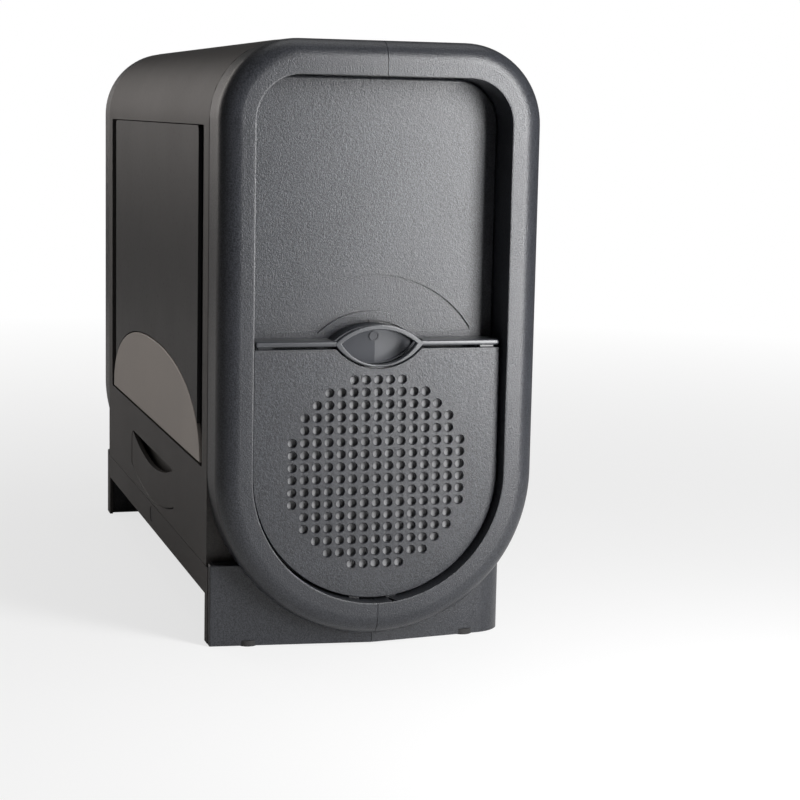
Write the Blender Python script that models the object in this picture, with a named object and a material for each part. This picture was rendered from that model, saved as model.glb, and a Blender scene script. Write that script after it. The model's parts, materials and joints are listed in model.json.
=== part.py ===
"""A floor-standing canister vacuum with a micro filter behind a perforated door at its right end.

Metres, +Z up. The front faces -Y, the filter end faces +X, and the origin is on the floor under the middle.
"""

import math

import bmesh
import bpy
from mathutils import Matrix

MM = 0.001

# ---- driving dimensions ----
HALF_DEPTH = 92.5 * MM  # front and rear faces of the body
HEIGHT = 340 * MM
BODY_X = 188 * MM  # where the body ends and the end frames start
WALL = 3 * MM
FIT = 0.3 * MM  # gap between pieces that touch
SPLIT = 0.15 * MM  # half of the seam between two mouldings
FLUSH = 0.2 * MM  # how far a piece stays behind the face round it
CROWN_X = BODY_X + 32 * MM  # outermost point of each end frame
FRAME_LIFT = 6.5 * MM  # from the floor to the end frames
ARC_Z = FRAME_LIFT + HALF_DEPTH  # centre of their round bottom
TOP_RADIUS = 45 * MM
RIM = 19.5 * MM  # width of the end frame's rim
RIM_ROUND = 12 * MM
RECESS_X = BODY_X + MM  # floor of the end frame's recess
DOOR_X = BODY_X + 24 * MM  # outer face of the filter door
PANEL_X = BODY_X + 6 * MM  # outer face of the panel above the door
SHEET = 2.5 * MM  # thickness of doors and panels
DOOR_TOP = 170 * MM
DOOR_GAP = 1.6 * MM  # round the door
HINGE_X = DOOR_X - 5.5 * MM  # the door's pin
HINGE_Z = FRAME_LIFT + RIM + 5 * MM
PIN = 1.5 * MM
PIN_PLAY = 0.1 * MM
PIN_WALL = 0.4 * MM  # least plastic round the door's pin
LUG_Y = 8 * MM  # inner side of the two hinge lugs
LUG = 6 * MM
HOLE_PITCH = 7 * MM
HOLE_RADIUS = 2.5 * MM
GRILLE_RADIUS = 54.5 * MM  # holes whose centres lie within this are pierced
GRILLE_Z = ARC_Z + MM
FILTER_HALF = 58 * MM
FILTER_RISE = 58 * MM
FILTER_CORNER = 26 * MM
FILTER_RIM = 7.5 * MM
FILTER_X = DOOR_X - SHEET - 0.6 * MM  # outer face of the filter's tray
SHELF_Z = DOOR_TOP + 1.4 * MM
SHELF = 3.1 * MM  # height of the latch's rail
EYE_Z = SHELF_Z + SHELF / 2
EYE = (25.9 * MM, 10.6 * MM, 13.3 * MM)  # half length, rise and drop of the finger pull
EYE_BAND = 2.8 * MM
EYE_LIP = 1.4 * MM
EYE_X = DOOR_X - 8.1 * MM  # back of the finger pull's ring
EYE_PROUD = 1.2 * MM
ARCH_OUTER = ((2.2 * MM, EYE_Z - 30.4 * MM), 67.2 * MM)  # centre and radius of the sunken band over it
ARCH_INNER = ((-0.6 * MM, EYE_Z - 26.5 * MM), 42.9 * MM)
ARCH_FOOT = EYE_Z + 5 * MM
ARCH_DEPTH = 0.6 * MM
LEG_Y = 60.5 * MM  # inner side of the latch's two legs
LEG = 8 * MM
LEG_Z = DOOR_TOP - 30 * MM
SPRING_GAP = 12 * MM
SKIRT_TOP = 43 * MM
SKIRT_BOTTOM = 28 * MM
SKIRT = 11 * MM  # depth of the skirt's bar
LEG_IN = BODY_X - 4 * MM  # inner side of the skirt's legs
SEAM_X = BODY_X + 4 * MM  # outer side of the skirt's legs
SKIRT_LEG = 2.1 * MM
SKIRT_RISE = 1.2 * MM  # how far the strip laps over the front of the body
MOUTH = (34.5 * MM, 58.5 * MM)  # from the front to the back of the mouth's ceiling and to its foot
MOUTH_FOOT = 14 * MM
FOOT_TOP = 47 * MM
FOOT_X = BODY_X + 19.5 * MM  # the foot's outermost point
FOOT_REAR = HALF_DEPTH - 8.5 * MM
SOLE = 0.3 * MM  # how far the rubber pads stand below the feet
PAD_X = BODY_X + 8 * MM
PAD_Y = (22.5 * MM - HALF_DEPTH, HALF_DEPTH - 34.5 * MM)
PAD = 6 * MM
BAY_X = BODY_X - 15 * MM
BAY_BASE = 98.6 * MM
BAY_TOP = HEIGHT - 48 * MM
BIN_X = BAY_X - 13 * MM
BIN_BASE = BAY_BASE + 1.4 * MM
BIN_TOP = BAY_TOP - 8 * MM
BIN_FLANGE_Y = 2.9 * MM - HALF_DEPTH
BIN_BACK = -30 * MM
TUB_WALL = 2.2 * MM
WINDOW_X = BAY_X - 17 * MM
BAND = (WINDOW_X + 9 * MM, 52.6 * MM)  # half length and rise of the silver band
BAND_POWER = 2.25
BAND_GAP = 0.8 * MM
OUTLET = (46 * MM, 25 * MM)  # half length and half height of the bin's outlet
OUTLET_Z = BAY_TOP - 47 * MM
FOAM = 8 * MM
CHASSIS_Y = (BIN_BACK + 2.5 * MM, BIN_BACK + 5.5 * MM)
SLOT_Y = (13.5 * MM - HALF_DEPTH, 28.5 * MM - HALF_DEPTH)  # suction slot in the ceiling of the mouth
SLOT_X = BODY_X - 38 * MM
INLET_X = 46 * MM  # half length of the inlet in the bin's floor
MOTOR = (26 * MM, 112 * MM)  # the motor's axis in (y, z)
SHROUD_RADIUS = 50 * MM
SHROUD_X = (BODY_X - 132 * MM, BODY_X - WALL - FIT)
FAN_RADIUS = 43 * MM
FAN_X = (SHROUD_X[0] + 10 * MM, SHROUD_X[0] + 24 * MM)
BRACKET_X = (FAN_X[1] + 4 * MM, FAN_X[1] + 8 * MM)
MOTOR_RADIUS = 38 * MM
MOTOR_X = (BRACKET_X[1] + 6 * MM, BRACKET_X[1] + 62 * MM)
SHAFT_RADIUS = 4 * MM
BEARING_RADIUS = 11 * MM
SADDLE = 6 * MM
POCKET_HALF = 82 * MM  # the catch's recess under the bin
POCKET_TOP = 80.5 * MM
POCKET_SIDE = 56.5 * MM  # lower end of its sides
POCKET_SAG = 10 * MM  # how far the middle hangs below the sides
POCKET_FLOOR = 7.3 * MM - HALF_DEPTH
CATCH_GAP = 0.9 * MM
CATCH_DIP = 69 * MM  # lowest point of the catch's hollow top
CATCH = 3 * MM
CATCH_PIN = 1.2 * MM
CATCH_Z = 58 * MM
CATCH_AXIS = (FLUSH - HALF_DEPTH + CATCH / 2, CATCH_Z)
WELL = ((-84 * MM, -18 * MM), (84 * MM, 26 * MM))
WELL_DEPTH = 18 * MM
HANDLE_Z = HEIGHT - 8.5 * MM
HANDLE = 8 * MM
HANDLE_Y = WELL[1][1] - 9 * MM
HANDLE_HALF = WELL[1][0] - 8 * MM
SWITCH = (120 * MM, 45 * MM)
SWITCH_HALF = (11 * MM, 6 * MM)
SWITCH_TILT = math.radians(8)
GLAND = (46 * MM, 62 * MM)  # the cord's inlet on the left end, in (y, z)
GLAND_RADIUS = 8 * MM
CORD_RADIUS = 3.6 * MM
SCREW_X = BODY_X - 18 * MM
SCREW_Z = (130 * MM, HEIGHT - 55 * MM)
SCREW_HEAD = 3.6 * MM
SCREW_SHANK = 1.6 * MM
BOARD = ((-120 * MM, -40 * MM), (170 * MM, 235 * MM))

# ---- tidy start ----
for old in list(bpy.data.objects):
    bpy.data.objects.remove(old)
PARTS = bpy.data.collections.new("canister_vacuum")
bpy.context.scene.collection.children.link(PARTS)

FINISHES = {
    "grey_plastic": ((0.055, 0.057, 0.062), 0.45, 0.0),
    "black_plastic": ((0.018, 0.018, 0.02), 0.4, 0.0),
    "smoked_plastic": ((0.03, 0.03, 0.032), 0.12, 0.0),
    "silver_plastic": ((0.36, 0.33, 0.31), 0.35, 0.6),
    "filter_felt": ((0.62, 0.62, 0.6), 0.9, 0.0),
    "foam": ((0.05, 0.05, 0.055), 0.95, 0.0),
    "steel": ((0.6, 0.6, 0.62), 0.3, 1.0),
    "rubber": ((0.02, 0.02, 0.02), 0.8, 0.0),
    "board": ((0.02, 0.16, 0.06), 0.5, 0.0),
    "copper": ((0.6, 0.26, 0.12), 0.35, 1.0),
}


# ---- helpers ----
def finish(obj, kind):
    """Gives the object its own material of that kind."""
    colour, roughness, metallic = FINISHES[kind]
    made = bpy.data.materials.new(obj.name + "_" + kind)
    made.use_nodes = True
    shader = made.node_tree.nodes["Principled BSDF"]
    shader.inputs["Base Color"].default_value = (*colour, 1)
    shader.inputs["Roughness"].default_value = roughness
    shader.inputs["Metallic"].default_value = metallic
    obj.data.materials.clear()
    obj.data.materials.append(made)
    obj.data.shade_smooth()
    obj.data.set_sharp_from_angle(angle=math.radians(35))
    return obj


def add(name, mesh):
    obj = bpy.data.objects.new(name, mesh)
    PARTS.objects.link(obj)
    return obj


def from_bmesh(name, bm):
    bmesh.ops.recalc_face_normals(bm, faces=bm.faces)
    if bm.calc_volume(signed=True) < 0:
        bmesh.ops.reverse_faces(bm, faces=bm.faces)
    mesh = bpy.data.meshes.new(name)
    bm.to_mesh(mesh)
    bm.free()
    return add(name, mesh)


def box(name, low, high):
    bm = bmesh.new()
    bmesh.ops.create_cube(bm, size=1)
    for vertex in bm.verts:
        for i in range(3):
            vertex.co[i] = low[i] if vertex.co[i] < 0 else high[i]
    return from_bmesh(name, bm)


TURN = {
    "X": Matrix.Rotation(math.pi / 2, 4, "Z") @ Matrix.Rotation(math.pi / 2, 4, "X"),
    "Y": Matrix.Rotation(math.pi / 2, 4, "X"),
    "Z": Matrix.Identity(4),
}
ALONG = {"X": (1, 0, 0), "Y": (0, 1, 0), "Z": (0, 0, 1)}


def plate(name, loops, normal, start, end):
    """A flat outline with holes, thickened from start to end along its normal. The outline is in (y, z) for a normal
    of X, in (x, z) for Y and in (x, y) for Z."""
    curve = bpy.data.curves.new(name, "CURVE")
    curve.dimensions = "2D"
    curve.fill_mode = "BOTH"
    curve.extrude = (end - start) / 2
    for loop in loops:
        spline = curve.splines.new("POLY")
        spline.points.add(len(loop) - 1)
        for point, (u, v) in zip(spline.points, loop):
            point.co = (u, v, 0, 1)
        spline.use_cyclic_u = True
    flat = bpy.data.objects.new(name + "_outline", curve)
    PARTS.objects.link(flat)
    flat.matrix_world = Matrix.Translation([a * (start + end) / 2 for a in ALONG[normal]]) @ TURN[normal]
    bpy.context.view_layer.update()
    seen = flat.evaluated_get(bpy.context.evaluated_depsgraph_get())
    bm = bmesh.new()
    bm.from_mesh(bpy.data.meshes.new_from_object(seen))
    bmesh.ops.transform(bm, matrix=flat.matrix_world, verts=bm.verts)
    bmesh.ops.remove_doubles(bm, verts=bm.verts, dist=0.001 * MM)
    bpy.data.objects.remove(flat)
    return from_bmesh(name, bm)


def drum(name, axis, radius, start, end, centre, sides=32, bore=0):
    """A cylinder along an axis, with a bore if one is given. The centre is in the plate's own two directions."""
    loops = [circle(centre, radius, sides)]
    if bore:
        loops.append(circle(centre, bore, sides))
    return plate(name, loops, axis, start, end)


def circle(centre, radius, sides, turn=0.0):
    return arc(centre, radius, turn, turn + 2 * math.pi * (1 - 1 / sides), sides - 1)


def arc(centre, radius, start, end, steps):
    """Points on an arc, both ends included."""
    return [
        (centre[0] + radius * math.cos(a), centre[1] + radius * math.sin(a))
        for a in (start + (end - start) * i / steps for i in range(steps + 1))
    ]


def rounded(low, high, radius, steps=4):
    """A rectangle with round corners, from its lowest to its highest corner."""
    (x0, y0), (x1, y1) = low, high
    corners = ((x1, y1, 0), (x0, y1, 1), (x0, y0, 2), (x1, y0, 3))
    loop = []
    for x, y, quarter in corners:
        centre = (
            x - radius if x == x1 else x + radius,
            y - radius if y == y1 else y + radius,
        )
        loop += arc(centre, radius, quarter * math.pi / 2, (quarter + 1) * math.pi / 2, steps)
    return loop


# The exact solver loses the inner walls of these, and the manifold solver keeps them.
THIN_WALLED = ("shell", "rear_housing", "end", "right_frame_rear", "left", "left_frame_rear")


def combine(target, other, operation):
    """Joins, cuts or keeps what two solids share, and removes the second."""
    modifier = target.modifiers.new(operation, "BOOLEAN")
    modifier.operation = operation
    modifier.solver = "MANIFOLD" if target.name in THIN_WALLED else "EXACT"
    modifier.object = other
    bpy.context.view_layer.update()
    seen = target.evaluated_get(bpy.context.evaluated_depsgraph_get())
    result = bpy.data.meshes.new_from_object(seen)
    target.modifiers.clear()
    target.data = result
    bpy.data.objects.remove(other)
    return target


def cut(target, *others):
    for other in others:
        combine(target, other, "DIFFERENCE")
    return target


def join(target, *others):
    for other in others:
        combine(target, other, "UNION")
    return target


def copy_of(obj, name):
    return add(name, obj.data.copy())


# ---- outlines shared by several pieces ----
def racetrack(inset, bottom_steps=24, corner_steps=8):
    """The end frame's outline in (y, z): a half circle below, straight sides, and rounded top corners."""
    half = HALF_DEPTH - inset
    top = HEIGHT - inset
    radius = TOP_RADIUS - inset
    loop = arc((0, ARC_Z), half, math.pi, 2 * math.pi, bottom_steps)
    loop += arc((half - radius, top - radius), radius, 0, math.pi / 2, corner_steps)
    loop += arc((radius - half, top - radius), radius, math.pi / 2, math.pi, corner_steps)
    return loop


def body_section(inset):
    """The body's outline in (y, z): square to the mouth in front, round below at the rear."""
    half = HALF_DEPTH - inset
    radius = TOP_RADIUS - inset
    top = HEIGHT - inset
    loop = [
        (-half, SKIRT_TOP + inset),
        (MOUTH[0] - HALF_DEPTH + inset / 2, SKIRT_TOP + inset),
        (MOUTH[1] - HALF_DEPTH + inset / 2, MOUTH_FOOT + inset),
    ]
    loop += arc((0, ARC_Z), half, 1.5 * math.pi, 2 * math.pi, 12)
    loop += arc((half - radius, top - radius), radius, 0, math.pi / 2, 8)
    loop += arc((radius - half, top - radius), radius, math.pi / 2, math.pi, 8)
    return loop


def door_outline(gap, top):
    """The D of the filter door in (y, z): a half circle below and a straight top."""
    radius = HALF_DEPTH - RIM - gap
    loop = arc((0, ARC_Z), radius, math.pi, 2 * math.pi, 20)
    return loop + [(radius, top), (-radius, top)]


def eye_outline(grow):
    """The finger pull's outline in (y, z), larger all round by grow."""
    half, rise, drop = EYE
    return eye(EYE_Z, half + 1.3 * grow, rise + grow, drop + grow)


def octagon(inset):
    """The micro filter's outline in (y, z), smaller all round by inset."""
    half = FILTER_HALF - inset
    rise = FILTER_RISE - inset
    corner = FILTER_CORNER - inset * (2 - math.sqrt(2))
    quarter = [(half, rise - corner), (half - corner, rise)]
    loop = quarter + [(-u, v) for u, v in reversed(quarter)]
    loop += [(-u, -v) for u, v in loop]
    return [(y, GRILLE_Z + z) for y, z in loop]


def band_outline(grow):
    """The silver band's outline in (x, z): the upper half of a superellipse, larger by grow."""
    half, rise = BAND
    points = []
    for i in range(25):
        a = math.pi * i / 24
        u = math.copysign(abs(math.cos(a)) ** (2 / BAND_POWER), math.cos(a))
        v = abs(math.sin(a)) ** (2 / BAND_POWER)
        points.append(((half + grow) * u, BIN_BASE + (rise + grow) * v))
    return points


def eye(centre_z, half, rise, drop, steps=8):
    """The eye-shaped finger pull in (y, z), between an upper and a lower arc that meet at two points."""
    upper = (half * half + rise * rise) / (2 * rise)
    lower = (half * half + drop * drop) / (2 * drop)
    spread_up = math.asin(half / upper)
    spread_low = math.asin(half / lower)
    over = arc((0, centre_z + rise - upper), upper, math.pi / 2 - spread_up, math.pi / 2 + spread_up, steps)
    under = arc((0, centre_z - drop + lower), lower, 1.5 * math.pi - spread_low, 1.5 * math.pi + spread_low, steps)
    return over + under[1:-1]


def foot_plan():
    """The right foot seen from above, in (x, y): a face that comes to a shallow point at the seam."""
    corner = 20 * MM
    start = BODY_X + SPLIT
    step = SKIRT_LEG + FIT - HALF_DEPTH
    centre = (FOOT_X - 28 * MM, FOOT_REAR - corner)
    return [
        (start, step),
        (SEAM_X, step),
        (SEAM_X, FLUSH - HALF_DEPTH),
        (FOOT_X - 9.3 * MM, FLUSH - HALF_DEPTH),
        (FOOT_X, 0),
        *arc(centre, corner, math.radians(7), math.acos((start - centre[0]) / corner), 4),
    ]


def mirrored(obj, name):
    """A copy on the other side of the middle plane x = 0."""
    bm = bmesh.new()
    bm.from_mesh(obj.data)
    bmesh.ops.scale(bm, vec=(-1, 1, 1), verts=bm.verts)
    bmesh.ops.reverse_faces(bm, faces=bm.faces)
    return from_bmesh(name, bm)


def rounded_rim(name, outer, start, end, radius):
    """A plate across X whose outer front edge is rounded."""
    made = plate(name, [outer], "X", start, end)
    bm = bmesh.new()
    bm.from_mesh(made.data)
    spots = {(round(u, 6), round(v, 6)) for u, v in outer}
    front = {
        v for v in bm.verts if v.co.x > end - 0.01 * MM and (round(v.co.y, 6), round(v.co.z, 6)) in spots
    }
    edges = [
        e
        for e in bm.edges
        if e.verts[0] in front
        and e.verts[1] in front
        and any(abs(f.normal.x) < 0.5 for f in e.link_faces)
    ]
    bmesh.ops.bevel(bm, geom=edges, offset=radius, segments=4, profile=0.5, affect="EDGES", material=-1)
    bmesh.ops.remove_doubles(bm, verts=bm.verts, dist=0.002 * MM)
    bpy.data.objects.remove(made)
    return from_bmesh(name, bm)


# ---- housings ----
def both_ends(target, piece, joiner):
    """Joins or cuts a piece and its mirror image on the other end."""
    joiner(target, mirrored(piece, piece.name + "_left"), piece)


def halves(whole, front_name, rear_name):
    """Splits a moulding at the seam down the middle."""
    reach = 2 * CROWN_X
    rear = copy_of(whole, rear_name)
    combine(whole, box("front_half", (-reach, -reach, -reach), (reach, -SPLIT, reach)), "INTERSECT")
    combine(rear, box("rear_half", (-reach, SPLIT, -reach), (reach, reach, reach)), "INTERSECT")
    whole.name = front_name
    finish(whole, "grey_plastic")
    finish(rear, "grey_plastic")


def skirt_room():
    """The space in front of the feet and under the body that the skirt takes."""
    step = SKIRT_LEG + FIT - HALF_DEPTH
    top = SKIRT_TOP + SKIRT_RISE + FIT
    return box("skirt_room", (-SEAM_X, -HALF_DEPTH - WALL, -WALL), (SEAM_X, step, top))


def make_housings():
    """The body between the two end frames: a tube with closed corners, split down the middle."""
    shell = plate("shell", [body_section(0)], "X", SPLIT - BODY_X, BODY_X - SPLIT)
    half = POCKET_HALF + WALL
    low = (-half, -HALF_DEPTH + FIT, SKIRT_TOP + FLUSH)
    high = (half, POCKET_FLOOR + TUB_WALL, POCKET_TOP + WALL)
    cut(shell, plate("cavity", [body_section(WALL)], "X", WALL - BODY_X, BODY_X - WALL))
    join(shell, box("pocket_walls", low, high))
    end_room = plate("end_room", [racetrack(FLUSH + WALL)], "X", BODY_X - WALL - FLUSH, BODY_X + WALL)
    both_ends(shell, end_room, cut)
    bay = rounded((-BAY_X, BAY_BASE), (BAY_X, BAY_TOP), 2 * MM, 2)
    cut(shell, plate("bay", [bay], "Y", -HALF_DEPTH - WALL, -HALF_DEPTH + 2 * WALL))
    cut(shell, plate("pocket", [catch_outline(0)], "Y", -HALF_DEPTH - WALL, POCKET_FLOOR))
    reach = POCKET_HALF + 2 * MM
    cut(
        shell,
        drum("catch_pin_hole", "X", CATCH_PIN + PIN_PLAY, -reach, reach, CATCH_AXIS, 10),
        box("slot", (-SLOT_X, SLOT_Y[0], SKIRT_TOP - WALL), (SLOT_X, SLOT_Y[1], SKIRT_TOP + 2 * WALL)),
        plate("well_hole", [grown(WELL, FIT)], "Z", HEIGHT - 2 * WALL, HEIGHT + WALL),
        skirt_room(),
    )
    x, y = SWITCH
    hole = rounded((x - 14 * MM, y - 9 * MM), (x + 14 * MM, y + 9 * MM), 2 * MM, 2)
    cut(shell, plate("switch_hole", [hole], "Z", HEIGHT - 2 * WALL, HEIGHT + WALL))
    for spot in screw_spots():
        cut(shell, drum("screw_seat", "Y", SCREW_HEAD + FIT, HALF_DEPTH - 1.6 * MM, HALF_DEPTH + WALL, spot, 12))
        cut(shell, drum("screw_hole", "Y", SCREW_SHANK + FIT, HALF_DEPTH - 2 * WALL, HALF_DEPTH, spot, 8))
    halves(shell, "front_housing", "rear_housing")


def make_end_frame():
    """A hollow rim round a recess, with the foot under it and a wall that closes the body's end."""
    end = rounded_rim("end", racetrack(FLUSH), BODY_X + SPLIT, CROWN_X, RIM_ROUND)
    join(end, plate("end_wall", [racetrack(FLUSH + WALL + FIT)], "X", BODY_X - WALL, RECESS_X))
    join(end, plate("foot", [foot_plan()], "Z", SOLE, FOOT_TOP))
    hollow_x = (BODY_X - WALL - FLUSH, CROWN_X - WALL)
    hollow = rounded_rim("hollow", racetrack(FLUSH + WALL), *hollow_x, RIM_ROUND - WALL)
    cut(hollow, plate("core", [racetrack(RIM - WALL)], "X", BODY_X - 2 * WALL, CROWN_X))
    cut(end, hollow, plate("recess", [racetrack(RIM)], "X", RECESS_X, CROWN_X + WALL), skirt_room())
    for y in PAD_Y:
        cut(end, drum("pad_seat", "Z", PAD + FIT, 0, SOLE + 3 * MM + FIT, (PAD_X, y), 16))
    return end


def make_end_frames():
    """The right frame carries the filter door, and the left one lets the cord in."""
    end = make_end_frame()
    left = mirrored(end, "left")
    for side in (-1, 1):
        y = sorted((side * LUG_Y, side * (LUG_Y + LUG)))
        front = HINGE_X + PIN + PIN_PLAY + PIN_WALL
        lug = box("lug", (RECESS_X - WALL, y[0], HINGE_Z - 6.5 * MM), (front, y[1], HINGE_Z + 3 * MM))
        join(end, lug)
    reach = LUG_Y + LUG + WALL
    cut(
        end,
        drum("pin_hole", "Y", PIN + PIN_PLAY, -reach, reach, (HINGE_X, HINGE_Z), 12),
        plate("port", [octagon(4 * MM)], "X", BODY_X - 2 * WALL, RECESS_X + WALL),
    )
    cut(left, drum("gland_hole", "X", GLAND_RADIUS + FIT, -RECESS_X - WALL, -BODY_X + 2 * WALL, GLAND, 16))
    halves(end, "right_frame_front", "right_frame_rear")
    halves(left, "left_frame_front", "left_frame_rear")


def screw_spots():
    return [(side * SCREW_X, z) for z in SCREW_Z for side in (-1, 1)]


def smile(half, low, sag):
    """An arc from left to right that hangs down by sag in the middle."""
    radius = (half * half + sag * sag) / (2 * sag)
    spread = math.asin(half / radius)
    return arc((0, low + radius), radius, 1.5 * math.pi - spread, 1.5 * math.pi + spread, 12)


def catch_outline(gap):
    """The outline of the catch's recess in (x, z), smaller all round by gap."""
    half = POCKET_HALF - gap
    top = POCKET_TOP - gap
    corner = 7 * MM - gap
    loop = smile(half, POCKET_SIDE - POCKET_SAG + gap, POCKET_SAG)
    loop += arc((half - corner, top - corner), corner, 0, math.pi / 2, 4)
    return loop + arc((corner - half, top - corner), corner, math.pi / 2, math.pi, 4)


def grown(corners, by):
    """The rounded outline of a rectangle given by two corners, larger all round."""
    (x0, y0), (x1, y1) = corners
    return rounded((x0 - by, y0 - by), (x1 + by, y1 + by), 5 * MM + by, 3)


def make_skirt():
    """The strip over the mouth, with a leg down the front of each foot."""
    bar = box(
        "base_skirt",
        (FIT / 2 - SEAM_X, -HALF_DEPTH, SKIRT_BOTTOM),
        (SEAM_X - FIT / 2, SKIRT_LEG - HALF_DEPTH, SKIRT_TOP + SKIRT_RISE),
    )
    inner = LEG_IN - FIT
    join(bar, box("bar", (-inner, -HALF_DEPTH, SKIRT_BOTTOM), (inner, SKIRT - HALF_DEPTH, SKIRT_TOP - FIT)))
    leg_top = (SEAM_X - FIT / 2, SKIRT_LEG - HALF_DEPTH, SKIRT_BOTTOM + 1 * MM)
    leg = box("leg", (LEG_IN, -HALF_DEPTH, SOLE), leg_top)
    both_ends(bar, leg, join)
    spot = (0, SKIRT_BOTTOM + 9 * MM)
    cut(bar, drum("lens_hole", "Y", 5 * MM, -HALF_DEPTH - WALL, SKIRT, spot, 16))
    finish(bar, "grey_plastic")
    lens = drum("sensor_lens", "Y", 4.7 * MM, FLUSH - HALF_DEPTH, 8 * MM - HALF_DEPTH, spot, 16)
    finish(lens, "smoked_plastic")


def make_pads():
    number = 0
    for side in (-1, 1):
        for y in PAD_Y:
            number += 1
            pad = drum(f"rubber_foot_{number}", "Z", PAD, 0, SOLE + 3 * MM, (side * PAD_X, y), 16)
            finish(pad, "rubber")


# ---- filter end ----
def hole_centres():
    """Every point of a square grid that lies within the grille's circle, in (y, z)."""
    steps = int(GRILLE_RADIUS / HOLE_PITCH) + 1
    for row in range(-steps, steps):
        for column in range(-steps, steps + 1):
            u, v = column * HOLE_PITCH, (row + 0.5) * HOLE_PITCH
            if math.hypot(u, v) <= GRILLE_RADIUS:
                yield u, GRILLE_Z + v


def make_door():
    door = plate("filter_door", [door_outline(DOOR_GAP, DOOR_TOP)], "X", DOOR_X - SHEET, DOOR_X)
    bm = bmesh.new()
    for u, v in hole_centres():
        place = Matrix.Translation((DOOR_X, u, v)) @ TURN["X"] @ Matrix.Rotation(math.pi / 6, 4, "Z")
        bmesh.ops.create_cone(
            bm, cap_ends=True, segments=6, radius1=HOLE_RADIUS, radius2=HOLE_RADIUS, depth=4 * SHEET, matrix=place
        )
    cut(door, from_bmesh("holes", bm))
    cut(door, plate("notch", [eye_outline(0.9 * MM)], "X", DOOR_X - 2 * SHEET, DOOR_X + SHEET))
    knuckle = LUG_Y - FIT
    join(
        door,
        box(
            "web",
            (HINGE_X, -knuckle, HINGE_Z - 0.5 * MM),
            (DOOR_X - SHEET / 2, knuckle, HINGE_Z + 2.8 * MM),
        ),
        drum("knuckle", "Y", 2 * PIN, -knuckle, knuckle, (HINGE_X, HINGE_Z), 16),
    )
    cut(door, drum("bore", "Y", PIN + PIN_PLAY, -LUG_Y, LUG_Y, (HINGE_X, HINGE_Z), 12))
    for side in (-1, 1):
        y = sorted((side * (LEG_Y - FIT), side * (LEG_Y + LEG + FIT)))
        top = LEG_Z - SPRING_GAP
        low, high = (DOOR_X - SHEET - 4 * MM, y[0], top - WALL), (DOOR_X - SHEET / 2, y[1], top)
        join(door, box("keeper", low, high))
    finish(pivot(door, (HINGE_X, 0, HINGE_Z)), "grey_plastic")
    pin = drum("door_hinge_pin", "Y", PIN, -LUG_Y - LUG, LUG_Y + LUG, (HINGE_X, HINGE_Z), 12)
    finish(pin, "steel")


def make_door_latch():
    """The rail over the door with its finger ring, and two legs that slide behind the door."""
    side = HALF_DEPTH - RIM - 2.3 * MM
    back = PANEL_X + 2 * FIT
    rail = box("door_latch", (back, -side, SHELF_Z), (DOOR_X + MM, side, SHELF_Z + SHELF))
    cut(rail, plate("cup_room", [eye_outline(1.6 * MM)], "X", back - WALL, EYE_X))
    ring = plate("ring", [eye_outline(0)], "X", EYE_X - FIT, DOOR_X + EYE_PROUD)
    join(rail, ring)
    half, rise, drop = EYE
    inner = eye(EYE_Z, half - 1.5 * EYE_BAND, rise - EYE_BAND, drop - EYE_LIP)
    cut(rail, plate("ring_hole", [inner], "X", PANEL_X, CROWN_X))
    for sign in (-1, 1):
        y = sorted((sign * LEG_Y, sign * (LEG_Y + LEG)))
        back_of_door = DOOR_X - SHEET - FIT
        low, high = (back_of_door - WALL, y[0], LEG_Z), (back_of_door, y[1], SHELF_Z + SHELF / 2)
        join(rail, box("leg", low, high))
    finish(pivot(rail, (back, 0, SHELF_Z)), "grey_plastic")
    x = DOOR_X - SHEET - FIT - WALL / 2
    for number, sign in ((1, -1), (2, 1)):
        loop = leaf_outline(sign * (LEG_Y + LEG / 2), LEG_Z - SPRING_GAP + FIT, LEG_Z - FIT, 3)
        finish(plate(f"latch_spring_{number}", [loop], "X", x - MM, x + MM), "steel")


def leaf_outline(middle, low, high, folds):
    """The edge of a folded strip that stands between two heights."""
    half, gauge = 2 * MM, 0.22 * MM
    rise = (high - low - 2.2 * gauge) / (2 * folds)
    points = [
        complex(middle + (half if i % 2 else -half), low + 1.1 * gauge + rise * i) for i in range(2 * folds + 1)
    ]
    ways = [(b - a) / abs(b - a) for a, b in zip(points, points[1:])]
    sides = []
    for i, point in enumerate(points):
        before, after = ways[max(i - 1, 0)], ways[min(i, len(ways) - 1)]
        along = (before + after) / abs(before + after)
        sides.append((point, 1j * along * gauge / (along.conjugate() * after).real))
    loop = [point + side for point, side in sides] + [point - side for point, side in reversed(sides)]
    return [(z.real, z.imag) for z in loop]


def make_end_panels():
    """The panels that close the recesses, the right one with the cup behind the finger ring."""
    outline = racetrack(RIM + FIT)
    panel = plate("right_end_panel", [outline], "X", RECESS_X + FIT, PANEL_X)
    keep = box("keep", (RECESS_X, -HALF_DEPTH, SHELF_Z - 8 * MM), (CROWN_X, HALF_DEPTH, HEIGHT))
    combine(panel, keep, "INTERSECT")
    cut(panel, plate("arch", [arch_outline()], "X", PANEL_X - ARCH_DEPTH, CROWN_X))
    cut(panel, plate("cup_room", [eye_outline(0.9 * MM)], "X", RECESS_X, CROWN_X))
    finish(panel, "grey_plastic")
    cup = plate("finger_cup", [eye_outline(0.5 * MM)], "X", RECESS_X + FIT, EYE_X - 2 * FIT)
    half, rise, drop = EYE
    dish = eye(EYE_Z, half - 2 * MM, rise - 2 * MM, drop - 2 * MM)
    cut(cup, plate("dish", [dish], "X", PANEL_X, CROWN_X))
    finish(cup, "grey_plastic")
    left = plate("left_end_panel", [outline], "X", -PANEL_X, -RECESS_X - FIT)
    cut(left, drum("gland_room", "X", GLAND_RADIUS + FIT, -CROWN_X, -BODY_X, GLAND, 16))
    finish(left, "grey_plastic")
    gland = drum("cord_gland", "X", GLAND_RADIUS, -PANEL_X - 4 * MM, -BODY_X + 2 * WALL, GLAND, 16, CORD_RADIUS)
    finish(gland, "rubber")


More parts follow.
